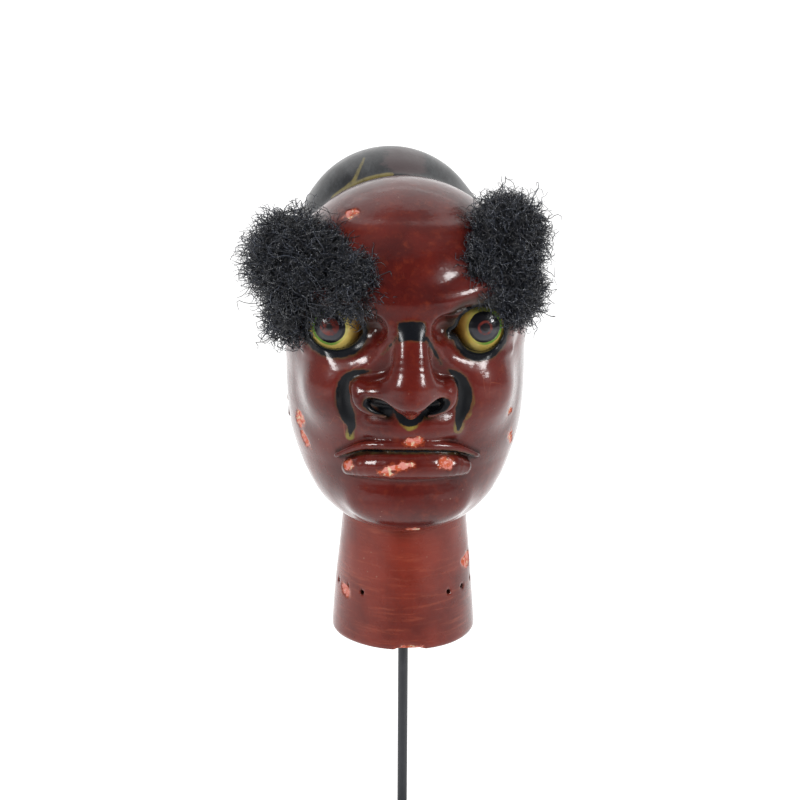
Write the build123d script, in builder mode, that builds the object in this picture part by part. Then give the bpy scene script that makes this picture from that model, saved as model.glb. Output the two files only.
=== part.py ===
from build123d import *

import os

# Hand puppet head with turning eyes, held up on a display rod.
#
# A carved wooden head is made in two halves, glued on an upright plane through the neck's
# axis. Inside, two eyeballs turn on upright pins. A tie bar joins the stems behind them, and
# a rocking finger lever, whose ring hangs above the neck's finger bore, swings the tie bar.
# The head stands on a turned plug that turns on a steel rod in a round base.
#
# Millimetres. +Z is up and the face looks along -Y. Left and right are as seen from the
# front, so left is -X. The origin is the centre of the base's underside.

os.makedirs("parts", exist_ok=True)

# Display stand
felt_diameter = 94
felt_thickness = 1.5
base_diameter = 100
base_thickness = 6
base_edge_radius = 1.2
rod_radius = 1.6
running_gap = 0.05

# Neck and finger bore
neck_base_z = 100
neck_foot_radius = 23
neck_foot_edge = 1
neck_flare_z = 120
neck_flare_radius = 21.2
neck_waist_z = 134
neck_waist_radius = 19.6
neck_throat_radius = 19
neck_spigot_radius = 16
neck_top_z = 153
bore_radius = 10
finger_radius = 9
tack_hole_radius = 0.6
tack_hole_depth = 4.5
tack_hole_z = 117
tack_hole_angles = (-165, -147, -129, -51, -33, -12, 30, 90, 150)

# Plug that the head stands on
plug_radius = 9.85
plug_base_z = 101
plug_top_z = 122
plug_chamfer = 0.8
rod_top_z = 118

# Head. Heights in the section lists are above head_z, the level of the cheeks.
head_z = 174
underside_z = head_z - 31
# (height, half width, front, back) of the outside without its features
outer_sections = [
    (-31, 20, -31, 21),
    (-25.5, 26.5, -34.5, 27),
    (-17, 31.2, -37.5, 33),
    (-5, 35, -39, 38),
    (12, 36.3, -39.5, 41),
    (30, 36.5, -41.5, 42),
    (45, 34.6, -42.5, 40),
    (57, 27.4, -35.4, 31),
]
# (height, half width, front, back) of the hollow
inner_sections = [
    (-23, 18.5, -27, 20),
    (-14, 25, -30.5, 27),
    (0, 29.5, -33.5, 31.5),
    (14, 31, -35.5, 34),
    (32, 31, -36.5, 35),
    (44, 29.8, -36.5, 32.5),
    (55, 20.5, -28, 22),
    (61, 8, -16, 7),
]
forehead_radius = 36.4
forehead_y = -8
forehead_z = head_z + 33.6
dome_radius = 29.5
dome_y = 17
dome_z = head_z + 48.5
dome_wall = 7
# A length that passes right through the head
reach = 170

# Nose, lips and brow
nose_root_y = -35
# (height, half width, front) of the bridge and tip
nose_sections = [
    (36, 4.2, -43),
    (28, 4.6, -43.5),
    (19, 6.2, -46.5),
    (12, 8.6, -49),
    (7.5, 6.8, -47.5),
]
nose_wing_radius = 5.4
nose_wing_place = (10, -40, head_z + 12)
nostril_radius = 2.6
nostril_place = (7, -46.5, head_z + 7)
upper_lip_radius = 3
lower_lip_radius = 3.4
brow_ridge_radius = 3

# Joining dowels
dowel_radius = 1.5
dowel_half_length = 6
dowel_places = [(x, head_z + z) for x, z in [(-32.9, 4), (32.9, 4), (-31.4, 45), (31.4, 45)]]

# Eyes
eye_x = 20.5
eye_y = -25
eye_z = head_z + 29
eye_radius = 9.5
socket_radius = 9.8
lid_radius = 11
eye_opening_half_width = 6.8
eye_opening_half_height = 6.1
pin_radius = 0.8
pin_hole_radius = pin_radius + running_gap
eye_pin_half_length = 14.5
stem_radius = 2
stem_seat_y = eye_y + 4
stem_tongue_y = eye_y + eye_radius + 1
stem_tongue_thickness = 2.4
stem_length = 17
eye_bridge_depth = 7
eye_bridge_height = 4
eye_bridge_gap = 0.7

# Tie bar and drive pin
tie_y = eye_y + stem_length
tie_bar_z = eye_z + 1.7
tie_bar_thickness = 3
tie_bar_width = 4
tie_pin_length = 6.9
drive_pin_z = eye_z - 2
drive_tongue_front_y = -7.2
drive_tongue_back_y = -4.2
drive_tongue_bottom_z = drive_pin_z - 2.5
drive_pin_front_y = -12.5
drive_pin_back_y = -1.6

# Finger lever, its cross bar and the centring spring
lever_pivot_z = drive_pin_z - 28
lever_front_y = -11
lever_thickness = 2.4
lever_width = 6
lever_top_z = drive_pin_z + 2.6
fork_slot_width = 2.1
fork_slot_depth = 4.6
ring_z = 157.5
ring_thickness = 3
ring_outer_radius = 9.5
ring_inner_radius = 7
lever_bridge_front_y = -7.6
lever_bridge_back_y = -1
lever_bridge_height = 8
lever_pin_play = 0.4
lever_pin_head_radius = 1.6
lever_pin_head_thickness = 0.7
spring_front_y = -3.9
spring_back_y = -2.1
spring_thickness = 0.5
spring_inner_gap = 1.7
spring_outer_width = spring_inner_gap + 2 * spring_thickness
spring_bottom_z = lever_pivot_z + 1.5
spring_top_z = drive_pin_z + 3

# Ears
ear_inner_x = 30
ear_thickness = 6.6
ear_y = 9
ear_z = head_z + 1
ear_half_width = 6
ear_half_height = 10.5
ear_lean = -8
ear_rim_radius = 1.4
ear_hollow_depth = 1.8
ear_hollow_half_width = 2.6
ear_hollow_half_height = 5.8

# Brows. A sphere around the forehead bounds the patches, and the hair starts from it.
pad_skin_radius = 39.6
pad_skin_y = -5
pad_skin_z = head_z + 33
pad_back_y = 12
pad_x = 25
pad_z = head_z + 45
pad_half_width = 8
pad_half_height = 10
pad_lean = 25
tuft_gap = 0.3

LOWER_END = (Align.CENTER, Align.CENTER, Align.MIN)


# ---------------------------------------------------------------- display stand
with BuildPart() as felt_pad:
    Cylinder(felt_diameter / 2, felt_thickness, align=LOWER_END)

with BuildPart() as base_plate:
    with Locations((0, 0, felt_thickness)):
        Cylinder(base_diameter / 2, base_thickness, align=LOWER_END)
    fillet(base_plate.edges().group_by(Axis.Z)[-1], base_edge_radius)
    Hole(rod_radius)

with BuildPart() as display_rod:
    with Locations((0, 0, felt_thickness)):
        Cylinder(rod_radius, rod_top_z - felt_thickness, align=LOWER_END)

with BuildPart() as mount_plug:
    with Locations((0, 0, plug_base_z)):
        Cylinder(plug_radius, plug_top_z - plug_base_z, align=LOWER_END)
    chamfer(mount_plug.edges().group_by(Axis.Z)[0], plug_chamfer)
    with Locations((0, 0, plug_base_z)):
        hole_radius = rod_radius + running_gap
        Cylinder(hole_radius, rod_top_z - plug_base_z, align=LOWER_END, mode=Mode.SUBTRACT)


# ---------------------------------------------------------------- neck
with BuildPart() as neck:
    foot_corner = (neck_foot_radius - neck_foot_edge, neck_base_z)
    foot_side = (neck_foot_radius, neck_base_z + neck_foot_edge)
    throat = (neck_throat_radius, underside_z)
    with BuildSketch(Plane.XZ):
        with BuildLine():
            Polyline(
                (neck_spigot_radius, underside_z),
                (neck_spigot_radius, neck_top_z),
                (bore_radius, neck_top_z),
                (bore_radius, neck_base_z),
                foot_corner,
            )
            RadiusArc(foot_corner, foot_side, -neck_foot_edge)
            Spline(
                foot_side,
                (neck_flare_radius, neck_flare_z),
                (neck_waist_radius, neck_waist_z),
                throat,
            )
            Line(throat, (neck_spigot_radius, underside_z))
        make_face()
    revolve(axis=Axis.Z)
    # Small holes where a costume was nailed on
    for angle in tack_hole_angles:
        outwards = Vector(1, 0, 0).rotate(Axis.Z, angle)
        hole_mouth = outwards * neck_foot_radius + Vector(0, 0, tack_hole_z)
        with BuildSketch(Plane(origin=hole_mouth, z_dir=outwards)):
            Circle(tack_hole_radius)
        extrude(amount=-tack_hole_depth, mode=Mode.SUBTRACT)

with BuildPart() as finger_sleeve:
    with BuildSketch(Plane.XY.offset(plug_top_z)):
        Circle(bore_radius)
        Circle(finger_radius, mode=Mode.SUBTRACT)
    extrude(amount=neck_top_z - 1 - plug_top_z)


# ---------------------------------------------------------------- head forms
def lofted(sections):
    """A closed form through ellipses stacked above head_z."""
    with BuildPart() as form:
        for height, half_width, front, back in sections:
            with BuildSketch(Plane.XY.offset(head_z + height)):
                with Locations((0, (front + back) / 2)):
                    Ellipse(half_width, (back - front) / 2)
        loft()
    return form.part


def ridge(end, middle, radius):
    """A round bar with round ends along a symmetric arc, for a lip or the brow."""
    x, y, z = end
    with BuildPart() as bar:
        with BuildLine():
            arc = ThreePointArc((-x, y, z), middle, (x, y, z))
        with BuildSketch(Plane(origin=arc @ 0, z_dir=arc % 0)):
            Circle(radius)
        sweep()
        with Locations(arc @ 0, arc @ 1):
            Sphere(radius)
    return bar.part


def both_sides(place):
    """The place and its mirror image across the face's middle."""
    x, y, z = place
    return [(-x, y, z), (x, y, z)]


eye_centres = both_sides((eye_x, eye_y, eye_z))
cavity = lofted(inner_sections)
upper_lip = ridge((17, -34, head_z - 2), (0, -40, head_z + 0.3), upper_lip_radius)
lower_lip = ridge((16, -34.5, head_z - 9.5), (0, -40.5, head_z - 7.5), lower_lip_radius)
brow_ridge = ridge((27, -29, head_z + 39), (0, -40.5, head_z + 38), brow_ridge_radius)

with BuildPart() as head_form:
    add(lofted(outer_sections))
    with Locations((0, forehead_y, forehead_z)):
        Sphere(forehead_radius)

with BuildPart() as nose_form:
    for height, half_width, front in nose_sections:
        with BuildSketch(Plane.XY.offset(head_z + height)):
            with Locations((0, nose_root_y)):
                Ellipse(half_width, nose_root_y - front)
    loft()
    with Locations(*both_sides(nose_wing_place)):
        Sphere(nose_wing_radius)

with BuildPart() as head_hollow:
    add(cavity)
    with Locations(*eye_centres):
        Sphere(socket_radius)
    with BuildSketch(Plane.XZ.offset(-eye_y)):
        with Locations((-eye_x, eye_z), (eye_x, eye_z)):
            Ellipse(eye_opening_half_width, eye_opening_half_height)
    extrude(amount=reach / 4)
    with BuildSketch(Plane.XY.offset(underside_z - 1)):
        Circle(neck_spigot_radius)
    extrude(amount=neck_top_z - underside_z + 1)
    with BuildSketch(Plane.XZ.offset(dowel_half_length)):
        with Locations(*dowel_places):
            Circle(dowel_radius)
    extrude(amount=-2 * dowel_half_length)


def half_space(side):
    """A block on one side of the joining plane: -1 is the face's side."""
    with BuildPart() as block:
        with Locations((0, side * reach / 2, head_z)):
            Box(reach, reach, reach)
    return block.part


# ---------------------------------------------------------------- head halves
with BuildPart() as face_shell:
    add(head_form.part)
    add(nose_form.part)
    add(upper_lip)
    add(lower_lip)
    add(brow_ridge)
    with Locations(*eye_centres):
        Sphere(lid_radius)
    with Locations(*both_sides(nostril_place)):
        Sphere(nostril_radius, mode=Mode.SUBTRACT)
    add(head_hollow.part, mode=Mode.SUBTRACT)
    add(half_space(-1), mode=Mode.INTERSECT)

with BuildPart() as back_shell:
    add(head_form.part)
    with Locations((0, dome_y, dome_z)):
        Sphere(dome_radius)
    add(head_hollow.part, mode=Mode.SUBTRACT)
    with Locations((0, dome_y, dome_z)):
        Sphere(dome_radius - dome_wall, mode=Mode.SUBTRACT)
    add(half_space(1), mode=Mode.INTERSECT)

with BuildPart() as head_dowels:
    with BuildSketch(Plane.XZ.offset(dowel_half_length)):
        with Locations(*dowel_places):
            Circle(dowel_radius)
    extrude(amount=-2 * dowel_half_length)


def ear(side):
    """A carved ear on one side of the back half, its rim proud of its hollow."""
    with BuildPart() as shell:
        with BuildSketch(Plane.YZ.offset(side * ear_inner_x)):
            with Locations((ear_y, ear_z)):
                Ellipse(ear_half_width, ear_half_height, rotation=ear_lean)
        extrude(amount=side * ear_thickness)
        fillet(shell.edges().sort_by(Axis.X)[-1 if side > 0 else 0], ear_rim_radius)
        with BuildSketch(Plane.YZ.offset(side * (ear_inner_x + ear_thickness))):
            with Locations((ear_y, ear_z)):
                Ellipse(ear_hollow_half_width, ear_hollow_half_height, rotation=ear_lean)
        extrude(amount=-side * ear_hollow_depth, mode=Mode.SUBTRACT)
        add(head_form.part, mode=Mode.SUBTRACT)
    return shell


ear_left = ear(-1)
ear_right = ear(1)


# ---------------------------------------------------------------- brows
def brow_pad(side):
    """The felt patch, bent to the brow, that the hair is sewn into."""
    with BuildPart() as pad:
        with BuildSketch(Plane.XZ.offset(pad_back_y)):
            with Locations((side * pad_x, pad_z)):
                Ellipse(pad_half_width, pad_half_height, rotation=side * pad_lean)
        extrude(amount=reach / 4)
        with Locations((0, pad_skin_y, pad_skin_z)):
            Sphere(pad_skin_radius, mode=Mode.INTERSECT)
        add(head_form.part, mode=Mode.SUBTRACT)
        add(brow_ridge, mode=Mode.SUBTRACT)
        with Locations(*eye_centres):
            Sphere(lid_radius, mode=Mode.SUBTRACT)
    return pad


def brow_tuft(upper, lower, radius):
    """The room that one brow's hair fills, round-ended, in front of its patch."""
    rise = Vector(*upper) - Vector(*lower)
    with BuildPart() as tuft:
        with BuildSketch(Plane(origin=lower, z_dir=rise)):
            Circle(radius)
        extrude(amount=rise.length)
        with Locations(upper, lower):
            Sphere(radius)
        with Locations((0, pad_skin_y, pad_skin_z)):
            Sphere(pad_skin_radius, mode=Mode.SUBTRACT)
        with Locations(*eye_centres):
            Sphere(lid_radius + tuft_gap, mode=Mode.SUBTRACT)
    return tuft


brow_pad_left = brow_pad(-1)
brow_pad_right = brow_pad(1)
brow_tuft_left = brow_tuft(
    upper=(-30.5, -22, head_z + 49),
    lower=(-26.5, -25, head_z + 43),
    radius=17.5,
)
brow_tuft_right = brow_tuft(
    upper=(29, -20, head_z + 57),
    lower=(29.5, -26, head_z + 41),
    radius=14,
)


# ---------------------------------------------------------------- eyes
def eyeball(side):
    """A turned ball, bored upright for its pin and from behind for its stem."""
    with BuildPart() as ball:
        with Locations((side * eye_x, eye_y, eye_z)):
            Sphere(eye_radius)
            Cylinder(pin_hole_radius, 3 * eye_radius, mode=Mode.SUBTRACT)
        with BuildSketch(Plane.XZ.offset(-stem_seat_y)):
            with Locations((side * eye_x, eye_z)):
                Circle(stem_radius)
        extrude(amount=-2 * eye_radius, mode=Mode.SUBTRACT)
    return ball


def eye_stem(side):
    """A peg behind the eyeball, flattened and drilled at its end for a tie pin."""
    with BuildPart() as stem:
        with BuildSketch(Plane.XZ.offset(-stem_seat_y)):
            with Locations((side * eye_x, eye_z)):
                Circle(stem_radius)
        extrude(amount=stem_seat_y - stem_tongue_y)
        with BuildSketch(Plane.XY.offset(eye_z - stem_tongue_thickness / 2)):
            with Locations((side * eye_x, (stem_tongue_y + tie_y) / 2)):
                Rectangle(2 * stem_radius, tie_y - stem_tongue_y)
            with Locations((side * eye_x, tie_y)):
                Circle(stem_radius)
        extrude(amount=stem_tongue_thickness)
        with Locations((side * eye_x, tie_y, eye_z)):
            Cylinder(pin_hole_radius, 2 * stem_radius, mode=Mode.SUBTRACT)
    return stem


eye_left = eyeball(-1)
eye_right = eyeball(1)
eye_stem_left = eye_stem(-1)
eye_stem_right = eye_stem(1)

with BuildPart() as eye_pins:
    with Locations(*eye_centres):
        Cylinder(pin_radius, 2 * eye_pin_half_length)


def eye_bridge(bottom_z):
    """A cross bar, glued to the hollow's walls, that holds one end of both eye pins."""
    with BuildPart() as bar:
        with Locations((0, eye_y, bottom_z)):
            Box(reach, eye_bridge_depth, eye_bridge_height, align=LOWER_END)
        add(cavity, mode=Mode.INTERSECT)
        with Locations(*eye_centres):
            Cylinder(pin_radius, 2 * eye_pin_half_length, mode=Mode.SUBTRACT)
    return bar


eye_bridge_offset = socket_radius + eye_bridge_gap
eye_bridge_upper = eye_bridge(eye_z + eye_bridge_offset)
eye_bridge_lower = eye_bridge(eye_z - eye_bridge_offset - eye_bridge_height)


# ---------------------------------------------------------------- eye linkage
tie_bar_top_z = tie_bar_z + tie_bar_thickness
tie_pin_top_centres = both_sides((eye_x, tie_y, tie_bar_top_z))

with BuildPart() as tie_pins:
    with Locations(*tie_pin_top_centres):
        Cylinder(pin_radius, tie_pin_length, align=(Align.CENTER, Align.CENTER, Align.MAX))

with BuildPart() as tie_bar:
    with BuildSketch(Plane.XY.offset(tie_bar_z)):
        with Locations((0, tie_y)):
            SlotCenterToCenter(2 * eye_x, tie_bar_width)
    extrude(amount=tie_bar_thickness)
    # A tongue in the middle reaches down to the drive pin
    with BuildSketch(Plane.XY.offset(drive_tongue_bottom_z)):
        with Locations((0, (drive_tongue_front_y + drive_tongue_back_y) / 2)):
            Rectangle(lever_width, drive_tongue_back_y - drive_tongue_front_y)
    extrude(amount=tie_bar_top_z - drive_tongue_bottom_z)
    with Locations(*tie_pin_top_centres):
        Cylinder(pin_radius, 3 * tie_bar_thickness, mode=Mode.SUBTRACT)
    with BuildSketch(Plane.XZ):
        with Locations((0, drive_pin_z)):
            Circle(pin_radius)
    extrude(amount=reach / 4, mode=Mode.SUBTRACT)

with BuildPart() as drive_pin:
    with BuildSketch(Plane.XZ.offset(-drive_pin_back_y)):
        with Locations((0, drive_pin_z)):
            Circle(pin_radius)
    extrude(amount=drive_pin_back_y - drive_pin_front_y)

with BuildPart() as finger_lever:
    with BuildSketch(Plane.XY.offset(ring_z)):
        Circle(ring_outer_radius)
    extrude(amount=ring_thickness)
    with BuildSketch(Plane.XY.offset(ring_z)):
        with Locations((0, lever_front_y + lever_thickness / 2)):
            Rectangle(lever_width, lever_thickness)
    extrude(amount=lever_top_z - ring_z)
    with BuildSketch(Plane.XY.offset(ring_z)):
        Circle(ring_inner_radius)
    extrude(amount=ring_thickness, mode=Mode.SUBTRACT)
    # The pivot hole, and the fork slot that is open at the top
    with BuildSketch(Plane.XZ):
        with Locations((0, lever_pivot_z)):
            Circle(pin_hole_radius)
        with Locations((0, lever_top_z)):
            Rectangle(fork_slot_width, 2 * fork_slot_depth)
        with Locations((0, lever_top_z - fork_slot_depth)):
            Circle(fork_slot_width / 2)
    extrude(amount=reach / 4, mode=Mode.SUBTRACT)

with BuildPart() as lever_pin:
    pin_head_back_y = lever_front_y - lever_pin_play
    with BuildSketch(Plane.XZ.offset(-lever_bridge_back_y)):
        with Locations((0, lever_pivot_z)):
            Circle(pin_radius)
    extrude(amount=lever_bridge_back_y - pin_head_back_y)
    with BuildSketch(Plane.XZ.offset(-pin_head_back_y)):
        with Locations((0, lever_pivot_z)):
            Circle(lever_pin_head_radius)
    extrude(amount=lever_pin_head_thickness)

with BuildPart() as centring_spring:
    spring_height = spring_top_z - spring_bottom_z
    with BuildSketch(Plane.XZ.offset(-spring_back_y)):
        with Locations((0, spring_bottom_z)):
            lower_middle = (Align.CENTER, Align.MIN)
            Rectangle(spring_outer_width, spring_height, align=lower_middle)
        with Locations((0, spring_bottom_z + spring_thickness)):
            Rectangle(spring_inner_gap, spring_height, align=lower_middle, mode=Mode.SUBTRACT)
    extrude(amount=spring_back_y - spring_front_y)

with BuildPart() as lever_bridge:
    with Locations((0, (lever_bridge_front_y + lever_bridge_back_y) / 2, lever_pivot_z)):
        Box(reach, lever_bridge_back_y - lever_bridge_front_y, lever_bridge_height)
    add(cavity, mode=Mode.INTERSECT)
    with BuildSketch(Plane.XZ):
        with Locations((0, lever_pivot_z)):
            Circle(pin_radius)
    extrude(amount=reach / 4, mode=Mode.SUBTRACT)
    # A slot in the top holds the closed end of the spring
    with BuildSketch(Plane.XY.offset(spring_bottom_z)):
        with Locations((0, (spring_front_y + spring_back_y) / 2)):
            Rectangle(spring_outer_width, spring_back_y - spring_front_y)
    extrude(amount=lever_bridge_height, mode=Mode.SUBTRACT)


# ---------------------------------------------------------------- STEP files
pieces = {
    "felt_pad": felt_pad,
    "base_plate": base_plate,
    "display_rod": display_rod,
    "mount_plug": mount_plug,
    "neck": neck,
    "finger_sleeve": finger_sleeve,
    "face_shell": face_shell,
    "back_shell": back_shell,
    "head_dowels": head_dowels,
    "ear_left": ear_left,
    "ear_right": ear_right,
    "brow_pad_left": brow_pad_left,
    "brow_pad_right": brow_pad_right,
    "brow_tuft_left": brow_tuft_left,
    "brow_tuft_right": brow_tuft_right,
    "eye_left": eye_left,
    "eye_right": eye_right,
    "eye_stem_left": eye_stem_left,
    "eye_stem_right": eye_stem_right,
    "eye_pins": eye_pins,
    "eye_bridge_upper": eye_bridge_upper,
    "eye_bridge_lower": eye_bridge_lower,
    "tie_bar": tie_bar,
    "tie_pins": tie_pins,
    "drive_pin": drive_pin,
    "finger_lever": finger_lever,
    "lever_pin": lever_pin,
    "lever_bridge": lever_bridge,
    "centring_spring": centring_spring,
}
for name, piece in pieces.items():
    piece.part.label = name
    export_step(piece.part, f"parts/{name}.step")
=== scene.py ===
import math

import bpy
import numpy as np
from mathutils import Matrix, Vector


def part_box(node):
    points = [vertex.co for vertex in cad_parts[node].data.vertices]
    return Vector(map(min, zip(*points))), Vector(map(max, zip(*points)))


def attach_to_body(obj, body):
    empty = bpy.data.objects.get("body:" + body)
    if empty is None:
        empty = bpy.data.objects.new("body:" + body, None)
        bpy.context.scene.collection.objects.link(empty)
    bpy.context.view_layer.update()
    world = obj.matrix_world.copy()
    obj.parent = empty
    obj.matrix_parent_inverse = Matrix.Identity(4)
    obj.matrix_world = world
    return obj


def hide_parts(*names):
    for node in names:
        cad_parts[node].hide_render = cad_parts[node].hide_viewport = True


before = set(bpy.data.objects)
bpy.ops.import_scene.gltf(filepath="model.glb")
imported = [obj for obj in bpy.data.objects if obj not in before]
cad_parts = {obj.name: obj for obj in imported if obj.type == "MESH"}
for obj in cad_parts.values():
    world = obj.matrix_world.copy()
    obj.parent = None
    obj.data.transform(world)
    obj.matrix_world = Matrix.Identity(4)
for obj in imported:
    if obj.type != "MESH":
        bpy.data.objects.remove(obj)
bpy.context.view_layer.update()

# Sculpted pieces are worked out in millimetres about the head's middle: x to the viewer's
# right, y backwards and h upwards from the level of the cheeks.
MM = 0.001


def box_centre(node):
    low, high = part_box(node)
    return (low + high) / 2


EYE = {"left": box_centre("eye_left"), "right": box_centre("eye_right")}
EYE_HEIGHT = 29.0
HEAD_Z = EYE["left"].z / MM - EYE_HEIGHT
EYE_X = EYE["right"].x / MM
EYE_Y = -25.0
EYE_RADIUS = 9.5
UNDERSIDE_H = -31.0
NECK_BASE_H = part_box("neck")[0].z / MM - HEAD_Z
NECK_TOP_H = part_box("neck")[1].z / MM - HEAD_Z


# ------------------------ fields
# A field gives each point's rough distance from a surface in mm, negative inside.
def smin(a, b, k):
    """The union of two fields, blended over k."""
    t = np.clip(0.5 + 0.5 * (b - a) / k, 0.0, 1.0)
    return b + (a - b) * t - k * t * (1.0 - t)


def smax(a, b, k):
    """The part that two fields share, blended over k."""
    return -smin(-a, -b, k)


def ball(p, centre, radius):
    return np.linalg.norm(p - np.array(centre), axis=1) - radius


def egg(p, centre, radii, lean=0.0):
    """An ellipsoid, turned in the face's plane by lean degrees."""
    q = p - np.array(centre)
    if lean:
        c, s = math.cos(math.radians(lean)), math.sin(math.radians(lean))
        q = np.stack([c * q[:, 0] + s * q[:, 2], q[:, 1], -s * q[:, 0] + c * q[:, 2]], axis=1)
    r = np.array(radii)
    k0 = np.linalg.norm(q / r, axis=1)
    k1 = np.linalg.norm(q / (r * r), axis=1) + 1e-9
    return k0 * (k0 - 1.0) / k1


def rod(p, a, b, ra, rb):
    """A round-ended rod from a to b whose radius goes from ra to rb."""
    a, b = np.array(a, float), np.array(b, float)
    d = b - a
    t = np.clip(((p - a) @ d) / (d @ d), 0.0, 1.0)
    return np.linalg.norm(p - a - t[:, None] * d, axis=1) - (ra + (rb - ra) * t)


SPLINE = np.array([[0, 2, 0, 0], [-1, 0, 1, 0], [2, -5, 4, -1], [-1, 3, -3, 1]]) / 2


def curve_points(knots, per_span=4):
    """Points along a smooth curve through the knots, which may carry more than three values."""
    k = np.array(knots, float)
    k = np.vstack([2 * k[0] - k[1], k, 2 * k[-1] - k[-2]])
    t = np.arange(per_span) / per_span
    powers = np.stack([t**0, t, t**2, t**3], axis=1)
    spans = [powers @ SPLINE @ k[i - 1 : i + 3] for i in range(1, len(k) - 2)]
    return np.vstack([*spans, k[-2]])


TUBE_REACH = 4.5
FAR = 30.0
NO_MARK = 9.0


def tube(p, knots, per_span=4):
    """A round tube along a smooth curve, worked out only nearby.

    Each knot is x, y, h and the radius there.
    """
    pts = curve_points(knots, per_span)
    margin = pts[:, 3].max() + TUBE_REACH
    low, high = pts[:, :3].min(axis=0) - margin, pts[:, :3].max(axis=0) + margin
    near = ((p > low) & (p < high)).all(axis=1)
    f = np.full(len(p), TUBE_REACH)
    q = p[near]
    g = f[near]
    for a, b in zip(pts[:-1], pts[1:]):
        g = np.minimum(g, rod(q, a[:3], b[:3], a[3], b[3]))
    f[near] = g
    return f


def mirrored(knots):
    return [(-k[0],) + tuple(k[1:]) for k in knots]


END_ROUNDING = 3.0


def stack(p, sections, corners=((0.0, 2.0),)):
    """Ellipses stacked in height: each section is height, half width, front and back.

    corners lists heights with the power there: 2 is a true ellipse, more is squarer.
    """
    table = curve_points(sections, 8)
    bottom, top = table[0, 0], table[-1, 0]
    h = p[:, 2]
    half, front, back = (np.interp(h, table[:, 0], table[:, i]) for i in (1, 2, 3))
    depth = (back - front) / 2
    power = np.interp(h, *np.array(corners).T)
    across = np.abs(p[:, 0] / half) ** power
    rho = (across + np.abs((p[:, 1] - (front + back) / 2) / depth) ** power) ** (1.0 / power)
    f = (rho - 1.0) * np.minimum(half, depth)
    return smax(f, np.abs(h - (bottom + top) / 2) - (top - bottom) / 2, END_ROUNDING)


# ------------------------ the head's shape
OUTER_SECTIONS = [
    (-33.5, 17, -28.0, 14),
    (-31, 21, -31.4, 20),
    (-27, 25.6, -34.8, 25),
    (-22, 29, -38, 30),
    (-15, 32.3, -39.2, 34),
    (-5, 35.2, -39.5, 38),
    (8, 36.3, -39.6, 41),
    (20, 36.2, -40, 42),
    (32, 36, -40.6, 42),
    (44, 34.4, -40.6, 40),
    (56, 27, -34, 33),
]
CORNERS = [(-12, 2.0), (4, 2.35), (22, 2.35), (36, 2.0)]
INNER_SECTIONS = [
    (-23, 18.5, -27, 20),
    (-14, 25, -30.5, 27),
    (0, 29.2, -33.2, 31.2),
    (14, 30.7, -35.2, 33.7),
    (32, 30.7, -36.2, 34.7),
    (44, 29.5, -36.2, 32.2),
    (55, 20.2, -27.7, 21.7),
    (61, 8, -16, 7),
]
FOREHEAD = ((-1.0, -8.0, 33.6), 36.2)
DOME = ((-4.0, 20.0, 47.2), 29.2)
SKULL_BLEND = 5.0
DOME_BLEND = 9.0
DOME_WALL = 7.0
SEAM_GAP = 0.05
NECK_HOLE_RADIUS = 19.5
SPIGOT_RADIUS = 16.1
SOCKET_MIDDLE = -26.0
SOCKET_HALF_HEIGHT = 8.0

BROW_RIDGE = [
    (-31, -26, 41.5, 2.5),
    (-20, -36, 39.5, 3.2),
    (-9, -40.3, 38.3, 3.3),
    (0, -41.2, 38.0, 3.1),
    (9, -40.3, 38.5, 3.3),
    (20, -36, 41.2, 3.2),
    (31, -26, 44.0, 2.5),
]
BROW_CREASE = [
    (-17, -38.4, 35.8, 0.7),
    (-12, -40.2, 35.2, 0.7),
    (-6, -41.8, 34.9, 0.6),
    (0, -43.2, 34.8, 0.3),
    (6, -41.8, 35.0, 0.6),
    (12, -40.2, 35.6, 0.7),
    (16, -38.6, 36.4, 0.6),
]
EYE_BAG = [
    (10.5, -38.6, 24.0, 0.8),
    (15, -37.4, 20.8, 1.1),
    (22, -34.4, 19.8, 1.2),
    (29, -28.5, 22.5, 0.9),
]
NOSE_BRIDGE = [
    (0.2, -39.4, 34.8, 2.0),
    (0.2, -42.3, 30.0, 2.7),
    (0.2, -44.5, 23.0, 3.6),
    (0.1, -46.5, 16.5, 4.6),
    (0.0, -46.8, 13.0, 4.4),
]
BRIDGE_HALF_WIDTH = 1.6
NOSE_BAR = ((-1.4, -41.8, 13.2), (14.2, 6.6, 4.5))
NOSTRILS = [((-8.6, -46.4, 9.3), (4.9, 4.6, 2.5), -17), ((6.8, -46.4, 9.3), (4.5, 4.6, 2.5), 17)]
WING_RIM_LEFT = [
    (-14.3, -42.0, 14.0, 2.3),
    (-14.0, -43.4, 10.6, 2.0),
    (-11.4, -43.9, 7.9, 1.2),
    (-7.2, -43.9, 6.3, 0.6),
]
WING_RIM_RIGHT = [
    (11.0, -42.0, 14.0, 2.3),
    (10.8, -43.4, 10.6, 2.0),
    (8.6, -43.9, 7.9, 1.2),
    (5.4, -43.9, 6.4, 0.6),
]
NASAL_FOLD_LEFT = [
    (-11.4, -43.0, 18.6, 0.3),
    (-15.2, -42.0, 17.8, 0.9),
    (-18.1, -40.6, 15.7, 1.4),
    (-18.9, -40.0, 12.7, 1.8),
    (-18.8, -39.9, 9.2, 2.0),
    (-17.7, -40.2, 5.4, 2.0),
    (-16.6, -40.8, 2.0, 1.2),
    (-16.9, -41.0, -1.5, 0.25),
]
NASAL_FOLD_RIGHT = [
    (10.8, -43.0, 18.8, 0.3),
    (13.3, -42.0, 17.0, 1.1),
    (15.1, -41.0, 14.0, 1.8),
    (15.6, -40.6, 11.0, 2.0),
    (15.1, -40.6, 7.5, 1.9),
    (14.2, -41.0, 4.0, 1.3),
    (13.9, -41.3, 1.0, 0.4),
]
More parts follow.
